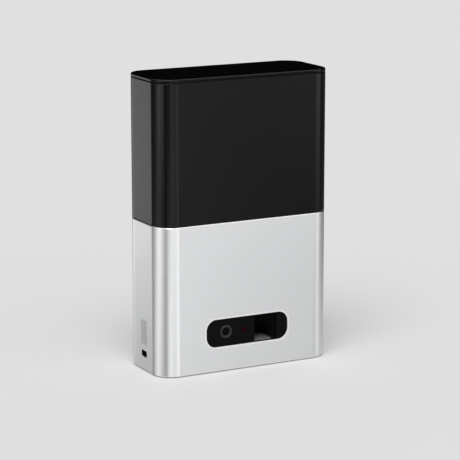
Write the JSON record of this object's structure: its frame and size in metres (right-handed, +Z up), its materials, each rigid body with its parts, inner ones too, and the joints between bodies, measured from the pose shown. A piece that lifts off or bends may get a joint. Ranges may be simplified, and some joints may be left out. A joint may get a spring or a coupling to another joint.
{
  "type": "treat tossing pet camera",
  "caption": "Upright slab-shaped pet camera with a lift-off lid over a treat hopper, a metering drum and a geared kicker that throws treats out of a low front window beside the lens.",
  "frame": {"origin": "centre of the footprint, on the surface that the feet stand on", "axes": "+Z up, -Y out of the front with the camera window, +X to the right seen from the front"},
  "size_m": [0.175, 0.073, 0.27],
  "materials": {
    "aluminium_body": "fine satin anodised aluminium",
    "polished_trim": "bright diamond-cut bevel",
    "black_shell": "satin black",
    "black_gloss": "gloss black",
    "black_plastic": "fine moulded grain",
    "grey_plastic": "satin grey",
    "white_plastic": "food-safe white",
    "rubber": "matt",
    "steel": "zinc plated",
    "brass": "turned",
    "circuit_board": "solder mask",
    "lens_glass": "coated",
    "infrared_filter": "dark red",
    "clear_plastic": "water clear",
    "speaker_cloth": "acoustic mesh",
    "cone_paper": "pulp",
    "copper_film": "flexible film"
  },
  "bodies": {
    "root": {"lower_sleeve": "aluminium_body", "window_trim": "polished_trim", "upper_shell": "black_shell", "base_plate": "black_plastic", "rubber_feet": "rubber", "base_screws": "steel", "rear_cover": "black_plastic", "rear_screws": "steel", "reset_switch": "steel", "main_frame": "black_plastic", "frame_floor": "black_plastic", "mid_deck": "black_plastic", "throat_gasket": "rubber", "camera_bezel": "black_gloss", "lens_barrel": "black_plastic", "lens_glass": "lens_glass", "lens_holder": "black_plastic", "camera_board": "circuit_board", "camera_screws": "steel", "infrared_window": "infrared_filter", "infrared_led": "clear_plastic", "microphone": "steel", "housing_left": "black_plastic", "housing_right": "black_plastic", "housing_screws": "steel", "chute_lip": "grey_plastic", "treat_sensor": "circuit_board", "drum_bushes": "brass", "feed_motor": "steel", "kicker_bushes": "brass", "kicker_motor": "steel", "motor_plate": "steel", "motor_plate_screws": "steel", "main_board": "circuit_board", "board_shield": "steel", "board_screws": "steel", "antenna": "copper_film", "speaker_mesh": "speaker_cloth", "speaker_frame": "black_plastic", "speaker_cone": "cone_paper", "speaker_box": "black_plastic", "power_bezel": "black_gloss", "power_socket": "steel", "power_board": "circuit_board"},
    "hopper": {"treat_hopper": "black_plastic"},
    "lid": {"lid_plate": "black_gloss", "lid_skirt": "black_plastic", "lid_seal": "rubber"},
    "metering_drum": {"metering_drum": "white_plastic", "drum_shaft": "steel", "drum_gear": "white_plastic"},
    "feed_drive": {"feed_pinion": "brass", "feed_motor_shaft": "steel"},
    "kicker": {"kicker_paddle": "white_plastic", "kicker_shaft": "steel", "kicker_gear": "white_plastic"},
    "kicker_drive": {"kicker_pinion": "brass", "kicker_motor_shaft": "steel"},
    "reset_button": {"reset_button": "grey_plastic"}
  },
  "joints": [
    {"name": "hopper_lift", "type": "slide", "parent": "root", "child": "hopper", "axis": [0, 0, 1], "range_m": [0, 0.15]},
    {"name": "lid_lift", "type": "slide", "parent": "hopper", "child": "lid", "axis": [0, 0, 1], "range_m": [0, 0.06]},
    {"name": "drum_spin", "type": "hinge", "parent": "root", "child": "metering_drum", "pos_m": [0.0188, 0.003, 0.112], "axis": [1, 0, 0], "continuous": true},
    {"name": "feed_pinion_spin", "type": "hinge", "parent": "root", "child": "feed_drive", "pos_m": [0.0356, -0.01628, 0.112], "axis": [1, 0, 0], "continuous": true},
    {"name": "kicker_swing", "type": "hinge", "parent": "root", "child": "kicker", "pos_m": [0.0188, 0.009, 0.056], "axis": [-1, 0, 0], "range_deg": [0, 55]},
    {"name": "kicker_pinion_spin", "type": "hinge", "parent": "root", "child": "kicker_drive", "pos_m": [0.0356, -0.01028, 0.056], "axis": [-1, 0, 0], "range_deg": [-120, 10]},
    {"name": "reset_press", "type": "slide", "parent": "root", "child": "reset_button", "axis": [0, -1, 0], "range_m": [0, 0.0008], "stiffness_N_per_m": 300}
  ],
  "couplings": [
    {"joint": "feed_pinion_spin", "follows": "drum_spin", "ratio": -2},
    {"joint": "kicker_pinion_spin", "follows": "kicker_swing", "ratio": -2}
  ]
}
